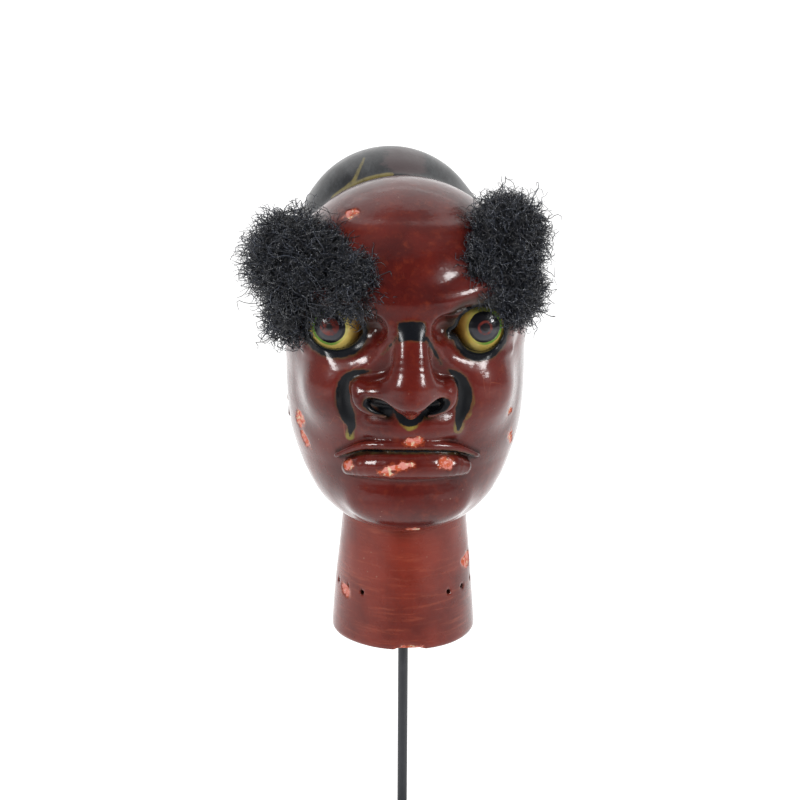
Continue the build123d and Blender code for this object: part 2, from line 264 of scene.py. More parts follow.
UPPER_LIP = [
    (-21.0, -34.2, -7.8, 0.7),
    (-13.5, -38.5, -3.8, 1.2),
    (-5, -41.2, -3.0, 1.4),
    (4, -41.3, -3.1, 1.4),
    (13, -38.8, -4.3, 1.2),
    (20.5, -34.4, -8.2, 0.7),
]
LOWER_LIP = [
    (-17.2, -35.6, -11.0, 2.3),
    (-11, -38.2, -9.4, 3.9),
    (0, -40.0, -9.0, 4.5),
    (10, -38.6, -9.3, 4.0),
    (15.8, -36.2, -10.8, 2.5),
]
MOUTH_LINE = [
    (-18.6, -36.6, -7.4, 0.2),
    (-12, -40.8, -5.2, 0.3),
    (0.5, -43.2, -4.4, 0.35),
    (12, -41.0, -5.3, 0.3),
    (18.4, -36.8, -7.6, 0.2),
]
UNDER_LIP = [
    (-15, -38.4, -15.2, 0.6),
    (-8, -41.0, -15.4, 1.2),
    (0, -42.0, -15.5, 1.4),
    (8, -41.2, -15.4, 1.2),
    (14, -39.0, -15.2, 0.6),
]
MOUTH_CORNER_LEFT = [
    (-22.6, -34.2, -7.0, 0.4),
    (-20.9, -36.0, -9.6, 0.8),
    (-18.8, -37.2, -13.2, 0.7),
    (-16.0, -38.2, -15.2, 0.4),
]
MOUTH_CORNER_RIGHT = [
    (21.4, -34.6, -7.6, 0.4),
    (19.0, -36.4, -10.4, 0.8),
    (16.6, -37.6, -13.4, 0.7),
    (14.2, -38.6, -15.0, 0.4),
]
# Rounded masses, each a centre and half sizes. The paired ones are given for the right side.
CHEEK = ((19.0, -29.8, 11.6), (9.5, 8.2, 9.0))
EYE_SOCKET = ((19.4, -42.8, 28.2), (10.6, 7.4, 9.0))
SOCKET_CORNERS = [((-11.0, -43.0, 30.4), (4.4, 5.8, 4.2)), ((10.2, -43.0, 30.4), (4.4, 5.8, 4.2))]
MUZZLE = ((0.4, -36.4, 2.4), (14.6, 6.3, 6.6))
CHIN = ((0.0, -31.6, -22.0), (16.0, 7.0, 7.6))
NOSE_TIP = ((0.1, -47.4, 11.2), (0.1, -45.8, 7.4), 3.2, 1.5)
FOLD_DEPTH = 0.85
LID_THICKNESS = 1.5
LID_GAP = 0.25


def paired(mass, side):
    """A mass given for the right side, on the side wanted."""
    (x, y, h), radii = mass
    return (side * x, y, h), radii


def eyeball(p, side, extra):
    """One eyeball grown by extra."""
    return ball(p, (side * EYE_X, EYE_Y, EYE_HEIGHT), EYE_RADIUS + extra)


def eye_opening(p, side):
    """How far a point is, seen from the front, outside the gap between one eye's lids."""
    x = (p[:, 0] - side * EYE_X) * side
    h = p[:, 2] - EYE_HEIGHT
    if side > 0:
        middle, a, b, corner_x = (-0.3, 0.4), 6.8, 6.8, -8.3
    else:
        middle, a, b, corner_x = (0.7, 0.2), 7.6, 5.7, -7.2
    x, h = x - middle[0], h - middle[1]
    oval = (np.hypot(x / a, h / b) - 1.0) * min(a, b)
    flat = np.stack([x, np.zeros_like(x), h], axis=1)
    corner = rod(flat, (-1.5, 0, 0), (corner_x, 0, -0.6), 4.2, 0.5)
    return smin(oval, corner, 1.0)


def skull(p):
    f = stack(p, OUTER_SECTIONS, CORNERS)
    f = smin(f, ball(p, *FOREHEAD), SKULL_BLEND)
    under_neck = np.maximum(np.hypot(p[:, 0], p[:, 1]) - NECK_HOLE_RADIUS, p[:, 2] - UNDERSIDE_H)
    return smax(f, -under_neck, 0.8)


def hollow(p):
    """The inside of the head, with the neck's socket."""
    f = stack(p, INNER_SECTIONS)
    r = np.hypot(p[:, 0], p[:, 1])
    socket = np.maximum(r - SPIGOT_RADIUS, np.abs(p[:, 2] - SOCKET_MIDDLE) - SOCKET_HALF_HEIGHT)
    f = np.minimum(f, socket)
    in_dome = ball(p, DOME[0], DOME[1] - DOME_WALL)
    return np.minimum(f, np.where(p[:, 1] < 0, FAR, in_dome))


def face_outside(p):
    f = skull(p)
    f = smin(f, tube(p, BROW_RIDGE), 3.0)
    for side in (-1, 1):
        f = smin(f, egg(p, *paired(CHEEK, side)), 9.0)
    for side, corner in zip((-1, 1), SOCKET_CORNERS):
        f = smax(f, -egg(p, *paired(EYE_SOCKET, side)), 2.4)
        f = smax(f, -egg(p, *corner), 1.4)
    f = smax(f, -tube(p, BROW_CREASE), 0.9)
    for bag in (EYE_BAG, mirrored(EYE_BAG)):
        f = smin(f, tube(p, bag), 2.0)
    # Nose
    left, right = (
        [(k[0] + side * BRIDGE_HALF_WIDTH, *k[1:]) for k in NOSE_BRIDGE] for side in (-1, 1)
    )
    bridge = smin(tube(p, left), tube(p, right), 2.4)
    nose = smin(bridge, egg(p, *NOSE_BAR), 5.0)
    nose = smin(nose, rod(p, *NOSE_TIP), 2.6)
    f = smin(f, nose, 2.2)
    # Muzzle, lips and chin
    f = smin(f, egg(p, *MUZZLE), 2.5)
    f = smin(f, egg(p, *CHIN), 7.0)
    for fold in (NASAL_FOLD_LEFT, NASAL_FOLD_RIGHT):
        f = smax(f, -tube(p, [(*k[:3], FOLD_DEPTH * k[3]) for k in fold]), 1.6)
    for nostril in NOSTRILS:
        f = smax(f, -egg(p, *nostril), 0.7)
    for rim in (WING_RIM_LEFT, WING_RIM_RIGHT):
        f = smin(f, tube(p, rim), 1.6)
    f = smin(f, tube(p, UPPER_LIP), 1.0)
    f = smin(f, tube(p, LOWER_LIP), 0.9)
    f = smax(f, -tube(p, UNDER_LIP), 2.0)
    f = smax(f, -tube(p, MOUTH_LINE), 0.5)
    for corner in (MOUTH_CORNER_LEFT, MOUTH_CORNER_RIGHT):
        f = smax(f, -tube(p, corner), 0.9)
    # Lids over the eyeballs
    for side in (-1, 1):
        f = smin(f, eyeball(p, side, LID_THICKNESS), 1.5)
    for side in (-1, 1):
        gap = np.maximum(eye_opening(p, side), p[:, 1] - EYE_Y)
        f = smax(f, -gap, 0.7)
        f = np.maximum(f, -eyeball(p, side, LID_GAP))
    return f


def chip_depth(p, chips):
    """Signed distance from the nearest lost flake of paint, each a lumpy patch."""
    f = np.full(len(p), NO_MARK)
    x, h = p[:, 0], p[:, 2]
    wobble = 0.225 * np.sin(2.1 * x + 1.3 * h) + 0.18 * np.sin(3.7 * h - 2.9 * x)
    for chip in chips:
        f = np.minimum(f, egg(p, *chip) + wobble)
    return f


def chipped(f, p, chips, depth):
    """The field with its flakes cut depth deep."""
    return f + depth * np.clip(0.5 - chip_depth(p, chips) / CHIP_EDGE, 0.0, 1.0)


FACE_CHIPS = [
    ((-17.0, -31.5, 61.2), (3.6, 7, 1.6), 14),
    ((-31.8, -22.5, -0.4), (1.3, 7, 2.6), 8),
    ((-30.4, -23.5, -6.4), (0.9, 7, 2.7), 24),
    ((1.2, -43, -1.6), (2.9, 4, 1.1), 6),
    ((-3.2, -43.5, -8.6), (4.4, 4, 0.9), 12),
    ((-6.6, -43, -10.6), (2.4, 4, 0.8), -8),
    ((10.2, -42, -8.0), (2.3, 4, 1.5), -20),
    ((-17.4, -38, -9.8), (1.4, 4, 1.2), 40),
    ((29.8, -23.5, 3.0), (0.7, 7, 1.3), -10),
    ((31.0, -20, -6.5), (0.6, 7, 2.6), 14),
    ((1.4, -35, -30.4), (2.0, 6, 0.7), 0),
]
NECK_CHIPS = [
    ((-18.2, -9.5, -58.4), (1.4, 6, 1.8), 10),
    ((19.4, -6.5, -50.0), (2.0, 7, 2.4), 50),
    ((1.2, -21.5, -73.6), (4.2, 3.5, 1.4), 0),
    ((12.5, 16.5, -66.0), (2.2, 5, 1.4), 20),
]
CHIP_CUT = 0.28
CHIP_EDGE = 0.5


def face_field(p):
    f = face_outside(p)
    f = chipped(f, p, FACE_CHIPS, CHIP_CUT)
    f = np.maximum(f, -hollow(p))
    return smax(f, p[:, 1] + SEAM_GAP, 0.5)


def back_field(p):
    # The dome runs into the head softly, but stays tight at the seam with the face
    blend = DOME_BLEND * np.clip(0.2 + p[:, 1] / 22.0, 0.2, 1.0)
    f = smin(skull(p), ball(p, *DOME), blend)
    f = np.maximum(f, -hollow(p))
    return smax(f, SEAM_GAP - p[:, 1], 0.5)


NECK_PROFILE = [
    (NECK_BASE_H, 22.8),
    (NECK_BASE_H + 6, 22.4),
    (-54, 21.2),
    (-40, 19.8),
    (UNDERSIDE_H - 2.5, 19.3),
    (UNDERSIDE_H, 19.1),
    (UNDERSIDE_H + 3, 19.0),
]
SPIGOT_MIDDLE = -40.0
NECK_BORE_RADIUS = 10.0
TACK_HEIGHT = -57.0
TACK_ANGLES = (-165, -147, -129, -51, -33, -12, 30, 90, 150)


def neck_field(p):
    table = curve_points(NECK_PROFILE, 6)
    r = np.hypot(p[:, 0], p[:, 1])
    turn = np.arctan2(p[:, 1], p[:, 0])
    carved = 0.10 * np.sin(3 * turn + 0.11 * p[:, 2]) + 0.05 * np.sin(7 * turn - 0.2 * p[:, 2])
    side = r - np.interp(p[:, 2], table[:, 0], table[:, 1]) - carved
    body = smax(side, NECK_BASE_H - p[:, 2], 1.6)
    body = smax(body, p[:, 2] - UNDERSIDE_H + 0.05, 0.4)
    spigot = smax(
        r - SPIGOT_RADIUS + 0.15,
        np.abs(p[:, 2] - SPIGOT_MIDDLE) - (NECK_TOP_H - SPIGOT_MIDDLE),
        0.4,
    )
    f = np.minimum(body, spigot)
    f = smax(f, NECK_BORE_RADIUS - r, 0.6)
    f = chipped(f, p, NECK_CHIPS, 1.6 * CHIP_CUT)
    for angle in TACK_ANGLES:
        c, s = math.cos(math.radians(angle)), math.sin(math.radians(angle))
        hole = rod(p, (17 * c, 17 * s, TACK_HEIGHT), (24 * c, 24 * s, TACK_HEIGHT), 0.6, 0.75)
        f = smax(f, -hole, 0.3)
    return f


# ------------------------ meshing
BLOCK = 4
NEAR_BLOCKS = 1.3
BATCH = 300000


def sample_grid(field, low, high, step):
    """Field values on a grid, worked out in full only near the surface."""
    count = np.ceil((np.array(high) - np.array(low)) / (step * BLOCK)).astype(int)
    centres = [low[i] + (np.arange(count[i]) + 0.5) * step * BLOCK for i in range(3)]
    mid = np.stack(np.meshgrid(*centres, indexing="ij"), axis=-1).reshape(-1, 3)
    rough = field(mid).reshape(count)
    near = np.abs(rough) < NEAR_BLOCKS * step * BLOCK
    values, fine = rough.astype(np.float32), near
    for axis in range(3):
        values, fine = np.repeat(values, BLOCK, axis), np.repeat(fine, BLOCK, axis)
    index = np.argwhere(fine)
    points = np.array(low) + index * step
    batches = np.array_split(points, max(1, len(points) // BATCH))
    values[fine] = np.concatenate([field(batch) for batch in batches])
    return values


def gradient(field, p, f0, eps=0.02):
    g = np.empty_like(p)
    for i in range(3):
        q = p.copy()
        q[:, i] += eps
        g[:, i] = (field(q) - f0) / eps
    return g


def mesh_object(name, p, quads, caps=()):
    """An object made of points in mm, quads and, after them, triangles."""
    caps = np.array(caps, dtype=int).reshape(-1, 3)
    mesh = bpy.data.meshes.new(name)
    mesh.vertices.add(len(p))
    world = (p + np.array([0, 0, HEAD_Z])) * MM
    mesh.vertices.foreach_set("co", world.astype(np.float32).ravel())
    loops = np.concatenate([quads.ravel(), caps.ravel()]).astype(np.int32)
    mesh.loops.add(len(loops))
    mesh.loops.foreach_set("vertex_index", loops)
    starts = np.concatenate([np.arange(len(quads)) * 4, len(quads) * 4 + np.arange(len(caps)) * 3])
    mesh.polygons.add(len(starts))
    mesh.polygons.foreach_set("loop_start", starts.astype(np.int32))
    mesh.update(calc_edges=True)
    mesh.polygons.foreach_set("use_smooth", np.ones(len(starts), bool))
    obj = bpy.data.objects.new(name, mesh)
    bpy.context.scene.collection.objects.link(obj)
    return obj


def sculpt(name, field, low, high, step):
    """Meshes a field's zero surface as quads and pulls the points onto it.

    Returns the object, its points in mm and the surface's direction at each.
    """
    low, high = np.array(low, float), np.array(high, float)
    v = sample_grid(field, low, high, step)
    n = np.array(v.shape)
    inside = v < 0
    corners = [(i, j, k) for i in (0, 1) for j in (0, 1) for k in (0, 1)]

    def shifted(a, c):
        return a[c[0] : n[0] - 1 + c[0], c[1] : n[1] - 1 + c[1], c[2] : n[2] - 1 + c[2]]

    total = sum(shifted(inside, c).astype(np.int8) for c in corners)
    cells = np.argwhere((total > 0) & (total < 8))
    place = np.zeros((len(cells), 3))
    hits = np.zeros(len(cells))
    for c in corners:
        for axis in range(3):
            if c[axis]:
                continue
            d = list(c)
            d[axis] = 1
            a = v[tuple((cells + c).T)]
            b = v[tuple((cells + d).T)]
            cross = (a < 0) != (b < 0)
            t = np.where(cross, a / np.where(cross, a - b, 1.0), 0.0)
            point = np.array(c, float) + np.eye(3)[axis] * t[:, None]
            place += point * cross[:, None]
            hits += cross
    p = low + (cells + place / hits[:, None]) * step
    for _ in range(2):
        f0 = field(p)
        g = gradient(field, p, f0)
        move = -f0[:, None] * g / np.maximum((g * g).sum(axis=1), 0.2)[:, None]
        length = np.linalg.norm(move, axis=1, keepdims=True)
        p += move * np.minimum(1.0, 0.6 * step / np.maximum(length, 1e-9))
    number = -np.ones(n, dtype=np.int64)
    number[tuple(cells.T)] = np.arange(len(cells))
    quads = []
    for axis in range(3):
        u, w = (axis + 1) % 3, (axis + 2) % 3
        one = np.eye(3, dtype=int)
        first = [slice(1, n[i] - 1) for i in range(3)]
        first[axis] = slice(0, n[axis] - 1)
        a = inside[tuple(first)]
        second = list(first)
        second[axis] = slice(1, n[axis])
        b = inside[tuple(second)]
        base = np.array([s.start for s in first])
        for leaving, order in ((a & ~b, (0, 1, 2, 3)), (~a & b, (3, 2, 1, 0))):
            e = np.argwhere(leaving) + base
            ring = [e - one[u] - one[w], e - one[w], e, e - one[u]]
            ids = np.stack([number[tuple(ring[i].T)] for i in order], axis=1)
            quads.append(ids)
    quads = np.concatenate(quads)
    quads = quads[(quads >= 0).all(axis=1)]
    f0 = field(p)
    g = gradient(field, p, f0)
    normal = g / np.maximum(np.linalg.norm(g, axis=1, keepdims=True), 1e-6)
    return mesh_object(name, p, quads), p, normal


def attach(obj, name, values):
    """Stores one number per vertex, for the materials to read."""
    attribute = obj.data.attributes.new(name, "FLOAT", "POINT")
    attribute.data.foreach_set("value", np.asarray(values, np.float32))


# ------------------------ what is painted where
BRIDGE_BAND = ((0.2, -44, 30.8), 3.7, 2.5)
SIDE_LINES = [
    [(4.2, -43.5, 29.0, 0.3), (6.4, -43.5, 25.0, 0.45), (8.6, -43.0, 20.6, 0.1)],
    [(-4.0, -43.5, 29.0, 0.1), (-6.0, -43.5, 26.0, 0.2), (-8.0, -43.0, 23.5, 0.05)],
]
UNDER_NOSE = [
    (-4.4, -44, 7.0, 0.4),
    (-2.2, -44, 4.9, 1.1),
    (0.1, -44, 4.3, 1.4),
    (2.6, -44, 5.3, 1.0),
    (4.4, -44, 7.2, 0.4),
]
LID_LINE = 1.2
FACE_FRONT = -20.0
GILT_SPOTS = [
    ((-17.2, -1.8), 2.3),
    ((14.2, 0.8), 2.5),
    ((0.0, 2.6), 2.8),
    ((17.2, 9.0), 2.6),
    ((17.2, 5.0), 2.2),
]


def seen_tube(p, knots):
    """The tube's distance as seen from the front, with depth left out."""
    flat = p.copy()
    flat[:, 1] = 0.0
    return tube(flat, [(k[0], 0.0, k[2], k[3]) for k in knots])


def black_paint(p):
    """Signed distance, mm, from the edge of the face's black paint."""
    centre, half_width, half_height = BRIDGE_BAND
    across = np.abs(p[:, 0] - centre[0]) - half_width
    along = np.abs(p[:, 2] - centre[2] + 0.03 * (p[:, 0] - centre[0]) ** 2) - half_height
    f = smax(across, along, 0.6)
    for mark in (NASAL_FOLD_LEFT, NASAL_FOLD_RIGHT, *SIDE_LINES, UNDER_NOSE):
        f = np.minimum(f, seen_tube(p, mark))
    for nostril in NOSTRILS:
        (x, _, h), (half, _, rise), lean = nostril
        f = np.minimum(f, egg(p, *nostril))
        f = np.minimum(f, egg(p, (x, -42.2, h - 1.0), (half, 2.5, rise + 0.4), lean))
    for side in (-1, 1):
        # The line round the lids is broader below the eye
        low = np.clip((EYE_HEIGHT - 1.0 - p[:, 2]) / 5.0, 0.0, 1.0)
        f = np.minimum(f, np.abs(eye_opening(p, side) - 0.4 * low) - LID_LINE - 0.35 * low)
    f = np.minimum(f, seen_tube(p, MOUTH_LINE) - 0.05)
    return np.where(p[:, 1] > FACE_FRONT, NO_MARK, f)


def lid_haze(p):
    """How much a point lies in the brown-grey wash around the lids and in the painted shade
    darkening the inner eye hollows, 0 to 1.
    """
    out = np.zeros(len(p))
    for side in (-1, 1):
        d = eye_opening(p, side)
        upper = np.clip((p[:, 2] - EYE_HEIGHT + 2.0) / 6.0, 0.0, 1.0)
        out = np.maximum(out, np.clip((3.0 + 2.4 * upper - d) / 2.2, 0.0, 1.0))
    # The carved hollows at the eyes' inner corners are darkened as well: painted shade.
    for side in (-1, 1):
        inner_hollow_shade = egg(p, (side * 11.0 - 0.3, -41, 30.5), (4.2, 8, 3.4))
        out = np.maximum(out, np.clip(-inner_hollow_shade / 2.0, 0.0, 1.0))
    return np.where(p[:, 1] > FACE_FRONT, 0.0, out)


def gilt(p):
    """Where yellow-green paint shows most beside the black, 0 to 1."""
    out = np.zeros(len(p))
    for (x, h), radius in GILT_SPOTS:
        d = np.hypot(p[:, 0] - x, p[:, 2] - h)
        out = np.maximum(out, np.clip(1.3 - d / radius, 0.0, 1.0))
    return out


def cupping(field, p, normal, reach=1.6):
    """How enclosed a point is: 1 deep in a crease, about 0.5 in the open, 0 on a sharp edge."""
    return np.clip(1.0 - field(p + normal * reach) / reach, -0.5, 1.0) * 0.5 + 0.5


# ------------------------ node helpers
SOCKETS = {
    "metallic": "Metallic",
    "coat": "Coat Weight",
    "coat_roughness": "Coat Roughness",
    "coat_normal": "Coat Normal",
    "coat_ior": "Coat IOR",
    "sheen": "Sheen Weight",
    "specular": "Specular IOR Level",
}


class Nodes:
    """Short calls for building one material's node tree."""

    def __init__(self, name):
        self.material = bpy.data.materials.new(name)
        self.material.use_nodes = True
        self.tree = self.material.node_tree
        self.tree.nodes.clear()
        self.out = self.add("ShaderNodeOutputMaterial")

    def add(self, kind, **settings):
        node = self.tree.nodes.new(kind)
        for key, value in settings.items():
            setattr(node, key, value)
        return node

    def put(self, socket, value):
        if isinstance(value, bpy.types.NodeSocket):
            self.tree.links.new(value, socket)
        elif value is not None:
            socket.default_value = value

    def fill(self, node, **values):
        for key, value in values.items():
            self.put(node.inputs[key], value)
        return node.outputs

    def attribute(self, name):
        return self.add("ShaderNodeAttribute", attribute_name=name).outputs["Fac"]

    def place(self):
        return self.add("ShaderNodeTexCoord").outputs["Object"]

    def split(self, vector):
        """A vector's x, y and z."""
        return self.fill(self.add("ShaderNodeSeparateXYZ"), Vector=vector)

    def stretched(self, scale, turn=(0, 0, 0)):
        node = self.add("ShaderNodeMapping")
        return self.fill(node, Vector=self.place(), Scale=scale, Rotation=turn)["Vector"]

    def noise(self, scale, detail=4.0, rough=0.55, vector=None, distort=0.0):
        node = self.add("ShaderNodeTexNoise")
        self.fill(node, Vector=vector or self.place(), Scale=scale, Detail=detail)
        return self.fill(node, Roughness=rough, Distortion=distort)["Fac"]

    def cells(self, scale, vector=None, feature="F1"):
        node = self.add("ShaderNodeTexVoronoi", feature=feature)
        return self.fill(node, Vector=vector or self.place(), Scale=scale)["Distance"]

    def math(self, operation, *values):
        node = self.add("ShaderNodeMath", operation=operation)
        for socket, value in zip(node.inputs, values):
            self.put(socket, value)
        return node.outputs[0]

    def times(self, a, b):
        return self.math("MULTIPLY", a, b)

    def plus(self, a, b):
        return self.math("ADD", a, b)

    def minus(self, a, b):
        return self.math("SUBTRACT", a, b)

    def length(self, x, y):
        return self.math("SQRT", self.plus(self.times(x, x), self.times(y, y)))

    def band(self, value, at, low, high):
        """The ramp of the value's distance from at."""
        return self.ramp(self.math("ABSOLUTE", self.minus(value, at)), low, high)

    def jitter(self, width, *noise):
        """Noise that wanders evenly to both sides of nought."""
        return self.math("MULTIPLY_ADD", self.noise(*noise), width, -width / 2)

    def ramp(self, value, low, high, to_low=0.0, to_high=1.0):
        """value from low to high becomes to_low to to_high, clamped and smooth."""
        node = self.add("ShaderNodeMapRange", interpolation_type="SMOOTHSTEP")
        ends = {"From Min": low, "From Max": high, "To Min": to_low, "To Max": to_high}
        return self.fill(node, Value=value, **ends)["Result"]

    def mix(self, factor, a, b):
        node = self.add("ShaderNodeMix", data_type="RGBA")
        self.put(node.inputs["Factor"], factor)
        sockets = [s for s in node.inputs if s.type == "RGBA"]
        for socket, value in zip(sockets, (a, b)):
            self.put(socket, value if isinstance(value, bpy.types.NodeSocket) else (*value, 1.0))
        return [s for s in node.outputs if s.type == "RGBA"][0]

    def bump(self, height, strength, distance):
        node = self.add("ShaderNodeBump")
        return self.fill(node, Height=height, Strength=strength, Distance=distance)["Normal"]

    def surface(self, colour, roughness, normal=None, **settings):
        """Finishes the material with its one shader, and returns it."""
        shader = self.add("ShaderNodeBsdfPrincipled")
        self.fill(shader, Roughness=roughness, Normal=normal, **{"Base Color": colour})
        self.fill(shader, **{SOCKETS[key]: value for key, value in settings.items()})
        self.tree.links.new(shader.outputs["BSDF"], self.out.inputs["Surface"])
        return self.material


# Deep, middle and warm red
FACE_REDS = ((0.054, 0.0052, 0.0044), (0.112, 0.0115, 0.0078), (0.185, 0.0290, 0.0120))
NECK_REDS = ((0.094, 0.0094, 0.0056), (0.190, 0.0230, 0.0120), (0.330, 0.0740, 0.0370))
BLACK = (0.0060, 0.0068, 0.0090)
YELLOW_GREEN = (0.200, 0.165, 0.025)
OLIVE = (0.075, 0.060, 0.020)
ORANGE = (0.460, 0.080, 0.030)
PINK = (0.600, 0.235, 0.200)
CREAM = (0.620, 0.500, 0.340)
CREASE_SHADE = (0.014, 0.005, 0.004)
DUST = (0.300, 0.170, 0.120)
LID_WASH_AND_SHADE = (0.026, 0.017, 0.012)


def undercoat(n):
    """The gesso and old orange paint that chips lay bare."""
    colour = n.mix(n.ramp(n.noise(430.0, 4.0, 0.7), 0.42, 0.56), ORANGE, PINK)
    return n.mix(n.ramp(n.noise(640.0, 3.0), 0.56, 0.66), colour, CREAM)


def lacquer(
    name,
    painted,
    streak=(1.0, 1.0, 1.0),
    chips=True,
    coat=0.85,
    coat_roughness=0.12,
    reds=FACE_REDS,
):
    """Old red lacquer. painted turns on the face's black and yellow brushwork."""
    deep, middle, warm = reds
    n = Nodes(name)
    drift = n.noise(38.0, 5.0, 0.6)
    fine = n.noise(330.0, 6.0, 0.7, n.stretched(streak))
    colour = n.mix(n.ramp(drift, 0.34, 0.66), deep, middle)
    colour = n.mix(n.ramp(fine, 0.48, 0.78, 0.0, 0.55), colour, warm)
    crease = n.attribute("crease")
    # Painted shade: creases are darkened towards near-black. Sharp edges are mixed towards the warm
    # red, a painted highlight.
    colour = n.mix(n.ramp(crease, 0.62, 0.98, 0.0, 0.85), colour, CREASE_SHADE)
    colour = n.mix(n.ramp(crease, 0.44, 0.18, 0.0, 0.55), colour, warm)
    gloss = n.ramp(crease, 0.62, 0.92, coat, 0.12 * coat)
    # Specks of dust and hairline scratches
    specks = n.times(n.ramp(n.cells(420.0), 0.13, 0.07), n.ramp(n.noise(75.0, 4.0), 0.55, 0.66))
    colour = n.mix(n.times(specks, 0.5), colour, DUST)
    scratch = n.cells(110.0, n.stretched((1.0, 1.0, 0.35), (0.4, 0.9, 0.3)), "DISTANCE_TO_EDGE")
    scratch = n.times(n.ramp(scratch, 0.008, 0.0), n.ramp(n.noise(60.0, 5.0), 0.58, 0.66))
    colour = n.mix(n.times(scratch, 0.35), colour, (0.36, 0.10, 0.05))
    height = n.plus(n.times(fine, 0.35), n.times(n.noise(1500.0, 2.0), 0.12))
    if painted:
        # The lids' brown-grey wash, together with the painted shade in the inner eye hollows.
        haze = n.times(n.attribute("haze"), n.ramp(n.noise(240.0, 4.0), 0.30, 0.62, 0.45, 0.9))
        colour = n.mix(haze, colour, LID_WASH_AND_SHADE)
        wander = n.jitter(1.0, 520.0, 4.0)
        edge = n.plus(n.attribute("black"), wander)
        bright = n.attribute("gilt")
        reach = n.math("MULTIPLY_ADD", bright, 0.8, 0.30)
        gold = n.ramp(n.minus(edge, reach), 0.45, -0.30)
        worn = n.ramp(n.noise(270.0, 5.0, 0.7), 0.36, 0.62, 0.25, 1.0)
        tone = n.mix(bright, OLIVE, YELLOW_GREEN)
        gold = n.times(n.times(gold, worn), n.ramp(bright, 0.0, 1.0, 0.55, 0.95))
        colour = n.mix(gold, colour, tone)
        black = n.ramp(edge, 0.20, -0.16)
        colour = n.mix(black, colour, BLACK)
        dull = n.math("MAXIMUM", black, haze)
        gloss = n.times(gloss, n.ramp(dull, 0.0, 1.0, 1.0, 0.25))
        height = n.plus(height, n.times(black, 0.25))
    roughness = n.ramp(n.noise(90.0, 4.0), 0.3, 0.75, 0.20, 0.38)
    if chips:
        ragged = n.jitter(2.2, 700.0, 5.0, 0.7)
        lost = n.plus(n.attribute("chip"), ragged)
        bare = n.ramp(lost, 0.08, -0.08)
        rim = n.ramp(lost, 0.70, 0.10)
        colour = n.mix(n.times(rim, 0.5), colour, (0.34, 0.060, 0.020))
        colour = n.mix(bare, colour, undercoat(n))
        roughness = n.plus(roughness, n.times(bare, 0.45))
        gloss = n.times(gloss, n.ramp(bare, 0.0, 1.0, 1.0, 0.1))
        height = n.minus(height, n.times(bare, 1.1))
    normal = n.bump(height, 0.55, 0.00022)
    brushed = n.noise(420.0, 4.0, 0.6, n.stretched((0.45, 0.45, 1.6)))
    wave = n.bump(n.plus(n.noise(130.0, 3.0), n.times(brushed, 0.22)), 0.35, 0.0008)
    return n.surface(
        colour,
        roughness,
        normal,
        coat=gloss,
        coat_roughness=coat_roughness,
        coat_normal=wave,
        coat_ior=1.36,
        specular=0.16,
    )


def black_scalp():
    """Black lacquer on the dome and nape, rubbed through on top, with its yellow brush line."""
    n = Nodes("black_scalp_lacquer")
    fine = n.noise(300.0, 6.0, 0.7, n.stretched((1.0, 0.25, 0.6)))
    colour = n.mix(n.ramp(fine, 0.42, 0.75), BLACK, (0.034, 0.038, 0.042))
    brush = n.plus(n.attribute("brush"), n.jitter(0.6, 330.0, 4.0))
    strokes = n.times(n.ramp(brush, 0.30, -0.20), n.ramp(fine, 0.25, 0.55, 0.35, 0.9))
    colour = n.mix(strokes, colour, (0.170, 0.135, 0.035))
    worn = n.plus(n.attribute("worn"), n.jitter(12.0, 130.0, 9.0, 0.75))
    colour = n.mix(n.times(n.ramp(worn, 1.2, -1.2), 0.8), colour, (0.060, 0.036, 0.038))
    red = n.plus(n.attribute("red"), n.jitter(1.0, 300.0, 3.0))
    nape = n.mix(n.ramp(n.noise(60.0, 5.0), 0.35, 0.65), *FACE_REDS[:2])
    line = n.band(red, 0.5, 0.8, 0.4)
    colour = n.mix(n.ramp(red, 0.15, -0.15), colour, nape)
    colour = n.mix(n.times(line, n.ramp(fine, 0.3, 0.6, 0.3, 0.9)), colour, (0.22, 0.17, 0.04))
    # Painted shade: the creases are darkened towards black.
    crease_shade = n.ramp(n.attribute("crease"), 0.62, 0.98, 0.0, 0.8)
    colour = n.mix(crease_shade, colour, (0.008, 0.006, 0.006))
    roughness = n.ramp(n.noise(80.0, 5.0), 0.3, 0.7, 0.26, 0.45)
    normal = n.bump(fine, 0.45, 0.00025)
    wave = n.bump(n.noise(110.0, 3.0), 0.30, 0.0008)
    gloss = dict(coat=0.4, coat_roughness=0.26, coat_ior=1.40, specular=0.22)
    return n.surface(colour, roughness, normal, coat_normal=wave, **gloss)


